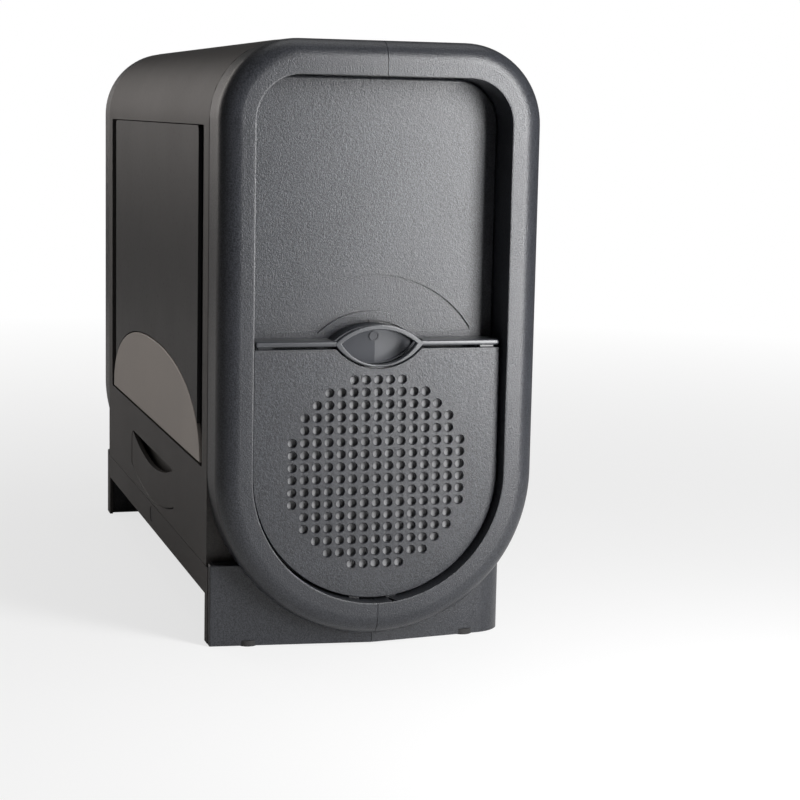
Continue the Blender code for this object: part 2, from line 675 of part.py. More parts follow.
def arch_outline():
    """The sunken band over the finger pull in (y, z): between two arcs that end on one level."""
    loop = []
    for (centre, radius), way in ((ARCH_OUTER, 1), (ARCH_INNER, -1)):
        start = math.asin((ARCH_FOOT - centre[1]) / radius)
        loop += arc(centre, radius, start, math.pi - start, 18)[::way]
    return loop


def make_filter():
    start = RECESS_X + FIT
    gasket = plate("filter_gasket", [octagon(0), octagon(3.5 * MM)], "X", start, start + 1.6 * MM)
    finish(gasket, "foam")
    start += 1.6 * MM + FIT
    tray = plate("filter_frame", [octagon(0), octagon(FILTER_RIM)], "X", start, FILTER_X)
    cut(tray, plate("seat", [octagon(FILTER_RIM - 2 * MM)], "X", start + 2 * MM, FILTER_X - 1.5 * MM))
    finish(tray, "black_plastic")
    pad = plate("filter_pad", [octagon(FILTER_RIM - 2 * MM + FIT)], "X", start + 2 * MM + FIT, FILTER_X - 1.8 * MM)
    join(pad, plate("pad_face", [octagon(FILTER_RIM + FIT)], "X", FILTER_X - 3 * MM, FILTER_X + FLUSH))
    finish(pad, "filter_felt")


# ---- chassis, duct and motor ----
def make_chassis():
    """The wall between bin and motor, with the shelf that the bin slides on."""
    side = BODY_X - WALL - FIT
    wall = box("chassis", (-side, CHASSIS_Y[0], 20 * MM), (side, CHASSIS_Y[1], HEIGHT - WALL - 4 * MM))
    shelf_top = BIN_BASE - FIT
    front = POCKET_FLOOR + FIT
    join(wall, box("shelf", (-side, front, shelf_top - WALL), (side, CHASSIS_Y[1], shelf_top)))
    half, rise = OUTLET
    outlet = rounded((-half, OUTLET_Z - rise), (half, OUTLET_Z + rise), 4 * MM, 2)
    cut(
        wall,
        plate("outlet", [outlet], "Y", CHASSIS_Y[0] - WALL, CHASSIS_Y[1] + WALL),
        box("inlet", (-INLET_X, SLOT_Y[0], shelf_top - 2 * WALL), (INLET_X, SLOT_Y[1], BIN_BASE)),
    )
    finish(wall, "black_plastic")


def make_duct():
    """The funnel from the suction slot up to the bin's inlet."""
    low = SKIRT_TOP + WALL + FIT
    high = BIN_BASE - 2 * FIT - WALL
    wide = SLOT_X + TUB_WALL
    narrow = INLET_X + TUB_WALL
    neck = high - 8 * MM

    def funnel(name, wide, narrow, y, low, high):
        loop = [(wide, low), (wide, low + 6 * MM), (narrow, neck), (narrow, high)]
        return plate(name, [loop + [(-u, v) for u, v in reversed(loop)]], "Y", *y)

    outside = (SLOT_Y[0] - TUB_WALL, SLOT_Y[1] + TUB_WALL)
    duct = funnel("suction_duct", wide, narrow, outside, low, high)
    cut(duct, funnel("duct_bore", SLOT_X, INLET_X, SLOT_Y, low - WALL, high + WALL))
    finish(duct, "black_plastic")


def make_motor():
    """Fan, motor and shroud on one axis along X, blowing at the filter."""
    shroud = drum("motor_shroud", "X", SHROUD_RADIUS, *SHROUD_X, MOTOR, 24, SHROUD_RADIUS - TUB_WALL)
    x = SHROUD_X[0]
    join(shroud, drum("intake", "X", SHROUD_RADIUS - MM, x, x + TUB_WALL, MOTOR, 24, 16 * MM))
    finish(shroud, "black_plastic")
    bore = SHAFT_RADIUS + PIN_PLAY
    room = SHROUD_RADIUS - TUB_WALL - 2 * FIT
    bracket = drum("motor_bracket", "X", room, *BRACKET_X, MOTOR, 24, BEARING_RADIUS + FIT)
    for i in range(6):
        a = math.pi / 3 * i
        spot = (MOTOR[0] + 40 * MM * math.cos(a), MOTOR[1] + 40 * MM * math.sin(a))
        cut(bracket, drum("vane_hole", "X", 5 * MM, BRACKET_X[0] - WALL, BRACKET_X[1] + WALL, spot, 8))
    finish(bracket, "black_plastic")
    for name, x in (("front_bearing", BRACKET_X), ("rear_bearing", (MOTOR_X[1] - 5 * MM, MOTOR_X[1] - MM))):
        finish(drum(name, "X", BEARING_RADIUS, *x, MOTOR, 20, bore), "steel")
    can = drum("motor_can", "X", MOTOR_RADIUS, *MOTOR_X, MOTOR, 24)
    cut(can, drum("can_room", "X", MOTOR_RADIUS - WALL, MOTOR_X[0] - WALL, MOTOR_X[1] - 8 * MM, MOTOR, 24))
    cut(can, drum("bearing_room", "X", BEARING_RADIUS + FIT, MOTOR_X[0], MOTOR_X[1] + WALL, MOTOR, 20))
    finish(can, "steel")
    spread = MOTOR_RADIUS - WALL - FIT
    stator = drum("stator", "X", spread, MOTOR_X[0] + 8 * MM, MOTOR_X[1] - 12 * MM, MOTOR, 24, 24 * MM)
    finish(stator, "copper")
    ring = drum("motor_mount", "X", room, MOTOR_X[0] + 32 * MM, MOTOR_X[0] + 42 * MM, MOTOR, 24, MOTOR_RADIUS + FIT)
    finish(ring, "rubber")
    spacer = drum("motor_spacer", "X", MOTOR_RADIUS, BRACKET_X[1] + FIT, MOTOR_X[0] - FIT, MOTOR, 24, 33 * MM)
    finish(spacer, "black_plastic")
    shaft = drum("motor_shaft", "X", SHAFT_RADIUS, FAN_X[0] - 4 * MM, MOTOR_X[1], MOTOR, 16)
    finish(pivot(shaft, (FAN_X[0], *MOTOR)), "steel")
    rotor = drum("rotor", "X", 22 * MM, MOTOR_X[0] + 10 * MM, MOTOR_X[1] - 14 * MM, MOTOR, 20, SHAFT_RADIUS + FIT)
    finish(pivot(rotor, (FAN_X[0], *MOTOR)), "copper")
    fan = drum("impeller", "X", FAN_RADIUS, FAN_X[1] - MM, FAN_X[1], MOTOR, 32)
    join(fan, drum("hub", "X", 12 * MM, *FAN_X, MOTOR, 20))
    for i in range(9):
        blade = box("blade", (FAN_X[0], 11 * MM, -0.7 * MM), (FAN_X[1] - MM / 2, FAN_RADIUS - MM, 0.7 * MM))
        turn = Matrix.Translation((0, *MOTOR)) @ Matrix.Rotation(2 * math.pi / 9 * i + 0.1, 4, "X")
        blade.data.transform(turn)
        join(fan, blade)
    cut(fan, drum("fan_bore", "X", SHAFT_RADIUS + FIT, FAN_X[0] - WALL, FAN_X[1] + WALL, MOTOR, 16))
    finish(pivot(fan, (FAN_X[0], *MOTOR)), "black_plastic")
    # the shroud stands on a saddle across the bottom of the body
    start = MOTOR_X[0] + SADDLE
    saddle = box("motor_saddle", (start, 0, 18 * MM), (start + SADDLE, 52 * MM, MOTOR[1] - 20 * MM))
    cut(saddle, drum("saddle_seat", "X", SHROUD_RADIUS + FIT, 0, SHROUD_X[1], MOTOR, 24))
    combine(saddle, plate("saddle_keep", [body_section(WALL + FIT)], "X", 0, BODY_X), "INTERSECT")
    finish(saddle, "black_plastic")


def make_board():
    (x0, x1), (z0, z1) = BOARD
    y = CHASSIS_Y[1]
    board = box("circuit_board", (x0, y + 4 * MM, z0), (x1, y + 5.6 * MM, z1))
    finish(board, "board")
    for number, x in enumerate((x0 + 8 * MM, x1 - 8 * MM), 1):
        post = drum(f"board_post_{number}", "Y", WALL, y + FIT, y + 4 * MM - FIT, (x, (z0 + z1) / 2), 10)
        finish(post, "black_plastic")
    middle = ((x0 + x1) / 2, (z0 + z1) / 2)
    capacitor = drum("capacitor", "Y", 9 * MM, y + 5.6 * MM + FIT, y + 34 * MM, middle, 16)
    finish(capacitor, "black_plastic")


# ---- bin ----
def make_bin():
    """The tub that pulls out at the front, its window, band, filter and flap."""
    tub = box("dust_bin", (-BIN_X, BIN_FLANGE_Y, BIN_BASE), (BIN_X, BIN_BACK, BIN_TOP))
    edge = BAY_X - 2 * FIT
    top = BAY_TOP - 2 * FIT
    join(tub, box("flange", (-edge, BIN_FLANGE_Y, BIN_BASE), (edge, BIN_FLANGE_Y + SHEET, top)))
    inside = (BIN_X - TUB_WALL, BIN_FLANGE_Y + SHEET, BIN_BACK - TUB_WALL)
    room = box("room", (-inside[0], inside[1], BIN_BASE + TUB_WALL), (inside[0], inside[2], BIN_TOP + WALL))
    cut(tub, room)
    half, rise = OUTLET
    cut(
        tub,
        box("inlet", (-INLET_X, SLOT_Y[0], BIN_BASE - WALL), (INLET_X, SLOT_Y[1], BIN_BASE + 2 * WALL)),
        box("outlet", (-half, BIN_BACK - WALL, OUTLET_Z - rise), (half, BIN_BACK + WALL, OUTLET_Z + rise)),
    )
    finish(pivot(tub, (0, BIN_FLANGE_Y, BIN_BASE)), "smoked_plastic")
    front = (FLUSH - HALF_DEPTH, BIN_FLANGE_Y - FIT)
    pane = rounded((-WINDOW_X, BIN_BASE), (WINDOW_X, top), 3 * MM, 2)
    window = plate("bin_window", [pane], "Y", *front)
    cut(window, plate("band_room", [band_outline(BAND_GAP)], "Y", -HALF_DEPTH - WALL, -HALF_DEPTH + 2 * WALL))
    finish(keep_largest(window), "smoked_plastic")
    finish(plate("silver_band", [band_outline(0)], "Y", -HALF_DEPTH, BIN_FLANGE_Y - FIT), "silver_plastic")
    frame_y = (BIN_BACK - TUB_WALL - FIT - FOAM, BIN_BACK - TUB_WALL - FIT)
    outer = rounded((-half - 6 * MM, OUTLET_Z - rise - 6 * MM), (half + 6 * MM, OUTLET_Z + rise + 6 * MM), 4 * MM, 2)
    inner = rounded((-half, OUTLET_Z - rise), (half, OUTLET_Z + rise), 3 * MM, 2)
    finish(plate("pre_filter_frame", [outer, inner], "Y", *frame_y), "grey_plastic")
    foam = rounded(
        (FIT - half, OUTLET_Z - rise + FIT), (half - FIT, OUTLET_Z + rise - FIT), 2.7 * MM, 2
    )
    finish(plate("pre_filter_foam", [foam], "Y", *frame_y), "foam")
    seal = plate("outlet_seal", [outer, inner], "Y", BIN_BACK + FIT, CHASSIS_Y[0] - FIT)
    finish(seal, "foam")
    base = BIN_BASE + TUB_WALL
    flap = box(
        "inlet_flap",
        (-INLET_X - 3 * MM, SLOT_Y[0] - 2 * MM, base + FIT),
        (INLET_X + 3 * MM, SLOT_Y[1] + 3 * MM, base + 1.8 * MM),
    )
    finish(pivot(flap, (0, SLOT_Y[1] + 3 * MM, base + FIT)), "rubber")


def keep_largest(obj):
    """Drops every loose piece but the largest."""
    bm = bmesh.new()
    bm.from_mesh(obj.data)
    left = set(bm.verts)
    groups = []
    while left:
        group, edge = set(), [left.pop()]
        while edge:
            vertex = edge.pop()
            group.add(vertex)
            for link in vertex.link_edges:
                other = link.other_vert(vertex)
                if other in left:
                    left.discard(other)
                    edge.append(other)
        groups.append(group)
    groups.sort(key=len)
    bmesh.ops.delete(bm, geom=[v for group in groups[:-1] for v in group], context="VERTS")
    bm.to_mesh(obj.data)
    bm.free()
    return obj


def make_bin_latch():
    """The wide catch under the band, which tips out on two pins to free the bin."""
    front = FLUSH - HALF_DEPTH
    latch = plate("bin_latch", [catch_outline(CATCH_GAP)], "Y", front, front + CATCH)
    half, top = POCKET_HALF, POCKET_TOP
    scoop = smile(half, CATCH_DIP, 1.18 * POCKET_SAG) + [(half, top + CATCH), (-half, top + CATCH)]
    cut(latch, plate("scoop", [scoop], "Y", front - CATCH, front + 2 * CATCH))
    for side in (-1, 1):
        x = sorted((side * (POCKET_HALF - 3 * MM), side * (POCKET_HALF + 1.6 * MM)))
        join(latch, drum("pin", "X", CATCH_PIN, *x, CATCH_AXIS, 10))
    finish(pivot(latch, (0, *CATCH_AXIS)), "black_plastic")
    loop = leaf_outline(CATCH_Z + 5 * MM, front + CATCH + FIT, POCKET_FLOOR - FIT, 1)
    spring = plate("bin_latch_spring", [[(v, u) for u, v in loop]], "X", -MM, MM)
    finish(spring, "steel")


# ---- top ----
def make_handle():
    top = HEIGHT - FLUSH
    well = plate("handle_well", [grown(WELL, 0)], "Z", HEIGHT - WELL_DEPTH, top)
    cut(well, plate("well_room", [grown(WELL, -TUB_WALL)], "Z", HEIGHT - WELL_DEPTH + TUB_WALL, HEIGHT + WALL))
    spot = (HANDLE_Y, HANDLE_Z)
    cut(well, drum("pin_holes", "X", 2.4 * MM, WELL[0][0] - WALL, WELL[1][0] + WALL, spot, 12))
    finish(well, "black_plastic")
    front = WELL[0][1] + TUB_WALL + 2.5 * MM
    outer = rounded((-HANDLE_HALF, front), (HANDLE_HALF, HANDLE_Y + HANDLE / 2), 3.5 * MM, 3)
    inner = rounded(
        (10 * MM - HANDLE_HALF, front + 12 * MM), (HANDLE_HALF - 10 * MM, HANDLE_Y + 2 * HANDLE), 3 * MM, 2
    )
    height = (HANDLE_Z - HANDLE / 2, HANDLE_Z + HANDLE / 2)
    bail = plate("carry_handle", [outer], "Z", *height)
    cut(bail, plate("grip_room", [inner], "Z", height[0] - WALL, height[1] + WALL))
    for side in (-1, 1):
        x = sorted((side * (HANDLE_HALF - 5 * MM), side * (WELL[1][0] - FIT)))
        join(bail, drum("pin", "X", 2.3 * MM, *x, spot, 12))
    finish(pivot(bail, (0, HANDLE_Y, HANDLE_Z)), "black_plastic")


def make_switch():
    x, y = SWITCH
    half_x, half_y = SWITCH_HALF
    low, high = HEIGHT - 12 * MM, HEIGHT - FLUSH
    outer = rounded((x - 14 * MM + FIT, y - 9 * MM + FIT), (x + 14 * MM - FIT, y + 9 * MM - FIT), 1.7 * MM, 2)
    inner = rounded((x - half_x - FIT, y - half_y - FIT), (x + half_x + FIT, y + half_y + FIT), 1 * MM, 2)
    bezel = plate("switch_bezel", [outer, inner], "Z", low, high)
    spot = (y, HEIGHT - 5 * MM)
    finish(bezel, "black_plastic")
    rocker = plate(
        "power_switch",
        [[(x - 9.5 * MM, spot[1] - 4 * MM), (x + 9.5 * MM, spot[1] - 4 * MM),
          (x + 10.2 * MM, spot[1] + 4 * MM), (x, spot[1] + 2.8 * MM), (x - 10.2 * MM, spot[1] + 4 * MM)]],
        "Y",
        y - half_y,
        y + half_y,
    )
    axle = (x, 0, spot[1])
    turn = Matrix.Translation(axle) @ Matrix.Rotation(SWITCH_TILT, 4, "Y") @ Matrix.Translation([-a for a in axle])
    rocker.data.transform(turn)
    finish(pivot(rocker, (x, y, spot[1])), "black_plastic")


def make_screws():
    for number, spot in enumerate(screw_spots(), 1):
        head = (HALF_DEPTH - 1.6 * MM + FIT, HALF_DEPTH - FLUSH)
        screw = drum(f"housing_screw_{number}", "Y", SCREW_HEAD, *head, spot, 12)
        join(screw, drum("shank", "Y", SCREW_SHANK, HALF_DEPTH - 12 * MM, HALF_DEPTH - MM, spot, 8))
        finish(screw, "steel")


def pivot(obj, point):
    """Moves an object's origin to the point, with its shape left where it is."""
    obj.data.transform(Matrix.Translation([-a for a in point]))
    obj.location = point
    return obj


make_housings()
make_end_frames()
make_skirt()
make_pads()
make_door()
make_door_latch()
make_end_panels()
make_filter()
make_chassis()
make_duct()
make_motor()
make_board()
make_bin()
make_bin_latch()
make_handle()
make_switch()
make_screws()
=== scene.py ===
# %% [markdown]
# # A canister vacuum's filter end, piece by piece
# The machine is a tall box on feet, with a mouth along the floor, a smoked dust bin in front and
# a filter door at its right end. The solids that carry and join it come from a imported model, in
# metres, with +Z up and the origin on the floor. Here they get their finish, and the pieces that
# show most are modelled again with a finer surface.

# %% Load the frame and keep its box
import json
import math

import bmesh
import bpy
from mathutils import Matrix, Vector


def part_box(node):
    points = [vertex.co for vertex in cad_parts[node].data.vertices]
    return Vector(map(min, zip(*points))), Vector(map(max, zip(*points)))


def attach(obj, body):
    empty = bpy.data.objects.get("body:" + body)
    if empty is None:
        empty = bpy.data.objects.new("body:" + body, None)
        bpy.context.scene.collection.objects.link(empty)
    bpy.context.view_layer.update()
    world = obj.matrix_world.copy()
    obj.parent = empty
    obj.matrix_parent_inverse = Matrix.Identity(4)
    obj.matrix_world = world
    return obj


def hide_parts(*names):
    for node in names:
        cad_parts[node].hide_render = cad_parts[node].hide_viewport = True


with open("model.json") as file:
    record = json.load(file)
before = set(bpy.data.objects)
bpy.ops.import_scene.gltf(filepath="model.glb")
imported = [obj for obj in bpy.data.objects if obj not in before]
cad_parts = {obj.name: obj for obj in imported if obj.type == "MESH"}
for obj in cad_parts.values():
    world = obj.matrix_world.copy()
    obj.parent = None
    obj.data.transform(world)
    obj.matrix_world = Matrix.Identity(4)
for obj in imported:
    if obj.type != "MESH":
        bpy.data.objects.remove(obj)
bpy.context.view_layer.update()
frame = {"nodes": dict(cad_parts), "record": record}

MM = 0.001
NODES = frame["nodes"]
BODIES = frame["record"]["behaviour"]["bodies"]
BODY_OF = {node: body for body, nodes in BODIES.items() for node in nodes}
SLOT_OF = {row["node"]: row["material_slot"] for row in frame["record"]["subparts"]}

# %% [markdown]
# ## Camera
# The photograph was taken with a long lens from beside the filter door, a little above its
# middle. A long lens keeps the edges of the door nearly parallel. The camera's axes are worked
# out from three turns: how far it looks to the side, how far down, and how far it leans.

# %% Set up the camera
CAMERA_PLACE = (1.2800, -0.3062, 0.3014)
CAMERA_TURN = math.radians(16.63)
CAMERA_DOWN = math.radians(8.20)
CAMERA_LEAN = math.radians(1.20)
LENS = 90.05

scene = bpy.context.scene
ahead = Vector((
    -math.cos(CAMERA_TURN) * math.cos(CAMERA_DOWN),
    math.sin(CAMERA_TURN) * math.cos(CAMERA_DOWN),
    -math.sin(CAMERA_DOWN),
))
side = ahead.cross((0, 0, 1)).normalized()
up = side.cross(ahead)
right = math.cos(CAMERA_LEAN) * side + math.sin(CAMERA_LEAN) * up
up = math.cos(CAMERA_LEAN) * up - math.sin(CAMERA_LEAN) * side
camera = bpy.data.objects.new("camera", bpy.data.cameras.new("camera"))
scene.collection.objects.link(camera)
turned = Matrix((right, up, -ahead)).transposed().to_4x4()
camera.matrix_world = Matrix.Translation(CAMERA_PLACE) @ turned
camera.data.lens = LENS
camera.data.sensor_width = 36
scene.camera = camera
print("camera looks along", [round(part, 3) for part in ahead])

# %% [markdown]
# ## Shader maths as plain expressions
# A material's nodes are easier to read as arithmetic. `Wire` holds one output of a node, and its
# operators add Math nodes, also when the number stands first, as in `1 - mask`. `Paint` holds one
# material, and its `node` method makes any node: its settings are set first, and then its sockets
# get values or wires.

# %% Wire and Paint
class Wire:
    """One output of a node."""

    def __init__(self, paint, socket):
        self.paint, self.socket = paint, socket

    def maths(self, operation, first, second):
        return self.paint.node("Math", {"operation": operation}, {0: first, 1: second})

    def __add__(self, other):
        return self.maths("ADD", self, other)

    def __sub__(self, other):
        return self.maths("SUBTRACT", self, other)

    def __rsub__(self, other):
        return self.maths("SUBTRACT", other, self)

    def __mul__(self, other):
        return self.maths("MULTIPLY", self, other)

    __radd__ = __add__
    __rmul__ = __mul__


class Paint:
    """One material, whose constant values go straight to the shader's sockets."""

    def __init__(self, name, **constants):
        self.material = bpy.data.materials.new(name)
        self.material.use_nodes = True
        self.shader = self.material.node_tree.nodes["Principled BSDF"]
        for key, value in constants.items():
            self.shader.inputs[key.replace("_", " ")].default_value = value
        self.place = self.node("TexCoord", output="Object")

    def node(self, kind, settings={}, inputs={}, output=0):
        made = self.material.node_tree.nodes.new("ShaderNode" + kind)
        for key, value in settings.items():
            if key == "stops":
                self.set_stops(made.color_ramp, value)
            else:
                setattr(made, key, value)
        for key, value in inputs.items():
            self.feed(made.inputs[key], value)
        return Wire(self, made.outputs[output])

    def feed(self, socket, value):
        if isinstance(value, Wire):
            self.material.node_tree.links.new(value.socket, socket)
        else:
            socket.default_value = value

    def set_stops(self, ramp, stops):
        while len(ramp.elements) < len(stops):
            ramp.elements.new(0.5)
        for element, (position, level) in zip(ramp.elements, stops):
            element.position = position
            element.color = (level, level, level, 1)

    def stretched(self, scale):
        """The place on the piece, squeezed by a factor for each axis."""
        return self.node("Mapping", {}, {"Vector": self.place, "Scale": scale})

    def noise(self, scale, detail=2, rough=0.5, place=None):
        values = {"Scale": scale, "Detail": detail, "Roughness": rough}
        return self.node("TexNoise", {}, {"Vector": place or self.place, **values})

    def ramp(self, value, *stops):
        return self.node("ValToRGB", {"stops": stops}, {0: value})

    def blend(self, mask, first, second):
        """A colour between two, by a mask from 0 to 1."""
        values = {0: mask, 6: (*first, 1), 7: (*second, 1)}
        return self.node("Mix", {"data_type": "RGBA"}, values, output=2)

    def set(self, name, value):
        self.feed(self.shader.inputs[name], value)

    def bump(self, height, depth):
        values = {"Strength": 1.0, "Distance": depth, "Height": height}
        self.set("Normal", self.node("Bump", {}, values))


# %% [markdown]
# ## Moulded plastics
# The body is moulded in a mould that was spark-eroded, which leaves a fine pebbled grain, so
# every highlight breaks up into small grey specks. Noise a little under a millimetre makes the
# pebbles, noise at a few centimetres the slight unevenness of the pigment, and handling leaves
# broad patches that shine a little more. The latch and the cup behind it are smooth. The cup's
# grey is painted lighter than the body's, as painted light in its hollow. The front's grey is
# painted warmer and lighter than the ends', as painted warm light on the front.

# %% Grained and smooth plastics
def grained(name, dark, light, roughness, pebble=1200, depth=0.17 * MM):
    """A pebbled plastic: a colour between two by its pigment, and specks that catch the light."""
    paint = Paint(name)
    fine = paint.noise(pebble, 3, 0.6)
    pigment = paint.noise(28, 3)
    handled = paint.noise(9, 4, 0.6)
    speck = paint.ramp(fine, (0.36, 0.0), (0.66, 1.0))
    paint.set("Base Color", paint.blend(0.7 * speck + 0.3 * pigment, dark, light))
    paint.set("Roughness", roughness + 0.12 * (handled - 0.5) + 0.1 * (0.5 - fine))
    paint.bump(fine + 0.4 * paint.noise(pebble / 3, 2), depth)
    return paint.material


def smooth_plastic(name, dark, light, roughness, **constants):
    """A polished moulding, with faint swirls and a little dust."""
    paint = Paint(name, **constants)
    swirl = paint.noise(14, 4, 0.65)
    dust = paint.ramp(paint.noise(420, 2), (0.62, 0.0), (0.78, 1.0))
    paint.set("Base Color", paint.blend(0.8 * swirl + 0.2 * dust, dark, light))
    paint.set("Roughness", roughness + 0.1 * (swirl - 0.5) + 0.08 * dust)
    paint.bump(paint.noise(90, 2), 0.01 * MM)
    return paint.material


GREY = grained("grey_plastic", (0.006, 0.0065, 0.0085), (0.046, 0.0485, 0.056), 0.315)
# Painted warm light: the front's grey is warmer, and its dark end lighter, than the ends' grey,
# standing in for a warm low light on the front.
FRONT_GREY_PAINTED_WARM = grained(
    "front_grey_painted_warm_plastic", (0.026, 0.023, 0.021), (0.050, 0.044, 0.041), 0.50, depth=0.08 * MM
)
BLACK = grained(
    "black_plastic", (0.012, 0.012, 0.013), (0.022, 0.021, 0.021), 0.42, 1500, 0.03 * MM
)
SMOKED = smooth_plastic(
    "smoked_plastic", (0.010, 0.010, 0.011), (0.020, 0.020, 0.021), 0.42, Specular_IOR_Level=0.25
)
TRIM = smooth_plastic(
    "trim_plastic", (0.030, 0.032, 0.037), (0.048, 0.051, 0.057), 0.30, Specular_IOR_Level=0.7
)
# Painted light: the cup's grey is lighter than the body's, standing in for light that its deep
# hollow keeps out.
CUP_GREY_PAINTED_LIGHT = smooth_plastic(
    "cup_plastic_painted_light", (0.036, 0.038, 0.045), (0.056, 0.059, 0.067), 0.42, Specular_IOR_Level=0.32
)
SILVER = smooth_plastic(
    "silver_plastic", (0.38, 0.343, 0.314), (0.51, 0.462, 0.424), 0.45, Metallic=0.4
)

# %% [markdown]
# ## Felt, foam, rubber and metal
# The filter is felt, whose fibres run every way: noise stretched along two axes gives short
# strands. Foam has open cells, which Voronoi distance draws. Rubber is matt with a bloom, and
# bare steel has fine lines from rolling, which noise squeezed along one axis gives.

# %% The other finishes
def felt():
    paint = Paint("filter_felt", Sheen_Weight=0.3, Sheen_Roughness=0.6)
    strands = paint.noise(900, 3, 0.6, paint.stretched((1, 0.25, 1)))
    cross = paint.noise(900, 3, 0.6, paint.stretched((1, 1, 0.25)))
    fibres = 0.5 * (strands + cross)
    paint.set("Base Color", paint.blend(fibres, (0.17, 0.173, 0.182), (0.29, 0.29, 0.294)))
    paint.set("Roughness", 0.9 - 0.1 * strands)
    paint.bump(strands + cross, 0.12 * MM)
    return paint.material


def foam():
    paint = Paint("foam")
    cells = paint.node("TexVoronoi", {}, {"Vector": paint.place, "Scale": 620})
    paint.set("Base Color", paint.blend(cells, (0.010, 0.010, 0.011), (0.085, 0.085, 0.09)))
    paint.set("Roughness", 0.98 - 0.1 * cells)
    paint.bump(cells, 0.5 * MM)
    return paint.material


def rubber():
    paint = Paint("rubber")
    bloom = paint.noise(60, 3)
    paint.set("Base Color", paint.blend(bloom, (0.012, 0.012, 0.013), (0.034, 0.033, 0.032)))
    paint.set("Roughness", 0.72 + 0.2 * bloom)
    paint.bump(paint.noise(800, 2), 0.04 * MM)
    return paint.material


def rolled_metal(name, dark, light, roughness, squeeze):
    """Bare metal with the lines of its rolling or winding."""
    paint = Paint(name, Metallic=1.0)
    lines = paint.noise(500, 3, 0.6, paint.stretched(squeeze))
    paint.set("Base Color", paint.blend(lines, dark, light))
    paint.set("Roughness", roughness + 0.2 * (lines - 0.5))
    paint.bump(lines, 0.02 * MM)
    return paint.material


def board_finish():
    """A lacquered board with copper tracks under the lacquer."""
    paint = Paint("board", Coat_Weight=0.4)
    face_on = {"Vector": paint.stretched((1, 0, 1)), "Scale": 60}
    tracks = paint.node("TexBrick", {"offset": 0.5}, face_on, output=1)
    paint.set("Base Color", paint.blend(tracks, (0.012, 0.10, 0.04), (0.05, 0.22, 0.07)))
    paint.set("Roughness", 0.35 + 0.2 * paint.noise(50))
    paint.bump(tracks, 0.05 * MM)
    return paint.material


FINISH = {
    "grey_plastic": GREY,
    "black_plastic": BLACK,
    "smoked_plastic": SMOKED,
    "silver_plastic": SILVER,
    "filter_felt": felt(),
    "foam": foam(),
    "rubber": rubber(),
    "steel": rolled_metal("steel", (0.42, 0.43, 0.45), (0.66, 0.66, 0.68), 0.34, (1, 1, 0.08)),
    "copper": rolled_metal("copper", (0.42, 0.16, 0.07), (0.75, 0.36, 0.18), 0.38, (3, 0.2, 0.2)),
    "board": board_finish(),
}
print(len(FINISH), "finishes")

# %% [markdown]
# ## Turning a mesh into a finished piece
# Every piece ends the same way: its normals face outwards, it is shaded smooth up to an angle, it
# takes a material, it is told which moving body it rides on, and the solid it stands for is hidden.
# Weighted normals keep large flat faces flat beside a rounded edge.

# %% Finish a piece
SHARP = math.radians(32)
SQUARE_ON = 0.999
DOUBLE = 0.002 * MM


def as_piece(name, bm, node, paint=None, also=(), flat_ends=False):
    """Makes a bmesh an object that rides with a node's body and takes that node's place."""
    for face in bm.faces:
        face.smooth = not (flat_ends and abs(face.normal.x) > SQUARE_ON)
    mesh = bpy.data.meshes.new(name)
    bm.to_mesh(mesh)
    bm.free()
    mesh.set_sharp_from_angle(angle=SHARP)
    mesh.materials.append(paint or FINISH[SLOT_OF[node]])
    piece = bpy.data.objects.new(name, mesh)
    scene.collection.objects.link(piece)
    weighted = piece.modifiers.new("flat faces", "WEIGHTED_NORMAL")
    weighted.keep_sharp = True
    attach(piece, BODY_OF[node])
    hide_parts(node, *also)


def outward(bm):
    """Merges doubles and turns every face out."""
    bmesh.ops.remove_doubles(bm, verts=bm.verts, dist=DOUBLE)
    bmesh.ops.recalc_face_normals(bm, faces=bm.faces)
    if bm.calc_volume(signed=True) < 0:
        bmesh.ops.reverse_faces(bm, faces=bm.faces)
    return bm


def turns_by(edge, degrees):
    return edge.is_manifold and edge.calc_face_angle(0) > math.radians(degrees)


def bevel(bm, edges, width, segments):
    bmesh.ops.bevel(
        bm, geom=edges, offset=width, segments=segments,
        profile=0.5, affect="EDGES", material=-1, clamp_overlap=True,
    )
    return bm


def round_edges(bm, width, angle=40, segments=2, above=-1):
    """Rounds every edge that turns by more than an angle and isn't wholly below a height."""
    sharp = [e for e in bm.edges if turns_by(e, angle) and max(v.co.z for v in e.verts) > above]
    return bevel(bm, sharp, width, segments)


def round_front(bm, x, width, segments):
    """Rounds the edges round the flat face that looks along X at a depth."""
    front = [e for e in bm.edges if all(abs(v.co.x - x) < 0.02 * MM for v in e.verts)]
    return bevel(bm, [e for e in front if turns_by(e, 60)], width, segments)


def merged(node):
    """A copy of a solid's mesh with its triangles joined again into flat faces."""
    bm = bmesh.new()
    bm.from_mesh(NODES[node].data)
    bmesh.ops.remove_doubles(bm, verts=bm.verts, dist=DOUBLE)
    bmesh.ops.dissolve_limit(bm, angle_limit=math.radians(0.5), verts=bm.verts, edges=bm.edges)
    return bm


# %% [markdown]
# ## Floor and light
# The floor is plain and pale. In the photograph the recessed panel brightens towards the right, as
# if it mirrored a light that stands there. A tall narrow softbox does that here. A larger, weaker
# one farther out and higher, one at the far left for the front, one overhead and a dim even world
# light the rest.

# %% Floor, world and softboxes
FLOOR_HALF = 30
WORLD_LEVEL = 0.08


